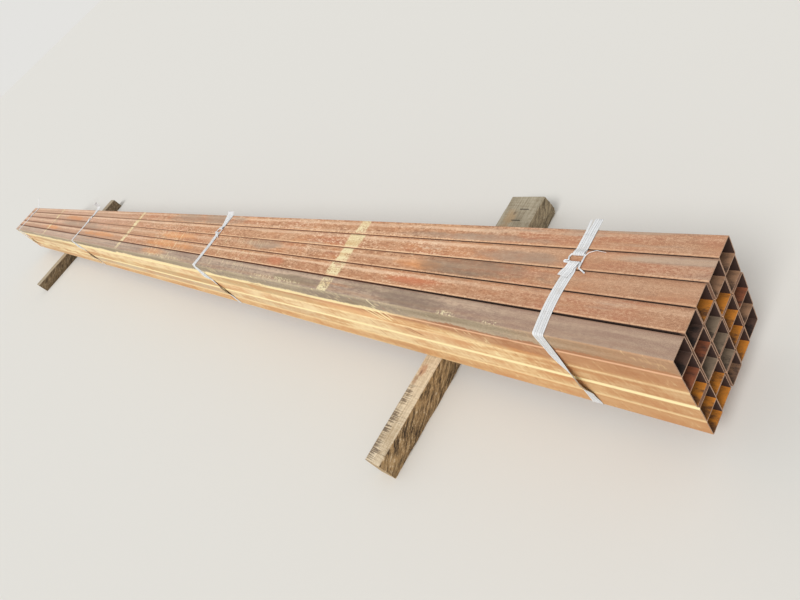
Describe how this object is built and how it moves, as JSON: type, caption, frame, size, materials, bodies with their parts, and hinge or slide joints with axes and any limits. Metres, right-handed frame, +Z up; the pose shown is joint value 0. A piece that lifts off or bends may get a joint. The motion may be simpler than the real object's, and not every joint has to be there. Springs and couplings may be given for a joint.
{
  "type": "stack of square steel tubing",
  "caption": "Strapped stack of rusty square steel tubes, open at both ends, lying on rough timber bearers and held by woven straps with wire buckles.",
  "frame": {"origin": "on the ground under the middle of the stack", "axes": "+X along the tubes, towards the end that the picture shows; +Y away from the viewer; +Z up"},
  "size_m": [6.0992, 0.9144, 0.388],
  "materials": {
    "rusty_steel": "rusted mill scale, matt",
    "woven_strap": "white woven polyester cord strap, a little dirty",
    "buckle_wire": "pale phosphated wire",
    "rough_timber": "rough sawn, weathered, one waney side"
  },
  "bodies": {
    "root": {"tube_row1_col1": "rusty_steel", "tube_row1_col2": "rusty_steel", "tube_row1_col3": "rusty_steel", "tube_row1_col4": "rusty_steel", "tube_row1_col5": "rusty_steel", "tube_row2_col1": "rusty_steel", "tube_row2_col2": "rusty_steel", "tube_row2_col3": "rusty_steel", "tube_row2_col4": "rusty_steel", "tube_row2_col5": "rusty_steel", "tube_row3_col1": "rusty_steel", "tube_row3_col2": "rusty_steel", "tube_row3_col3": "rusty_steel", "tube_row3_col4": "rusty_steel", "tube_row3_col5": "rusty_steel", "tube_row4_col1": "rusty_steel", "tube_row4_col2": "rusty_steel", "tube_row4_col3": "rusty_steel", "tube_row4_col4": "rusty_steel", "tube_row4_col5": "rusty_steel", "tube_row5_col1": "rusty_steel", "tube_row5_col2": "rusty_steel", "tube_row5_col3": "rusty_steel", "tube_row5_col4": "rusty_steel", "tube_row5_col5": "rusty_steel", "strap_1": "woven_strap", "strap_2": "woven_strap", "strap_3": "woven_strap", "strap_4": "woven_strap", "buckle_1": "buckle_wire", "buckle_2": "buckle_wire", "buckle_3": "buckle_wire", "buckle_4": "buckle_wire", "bearer_front_near": "rough_timber", "bearer_front_far": "rough_timber", "bearer_rear": "rough_timber"}
  },
  "joints": []
}
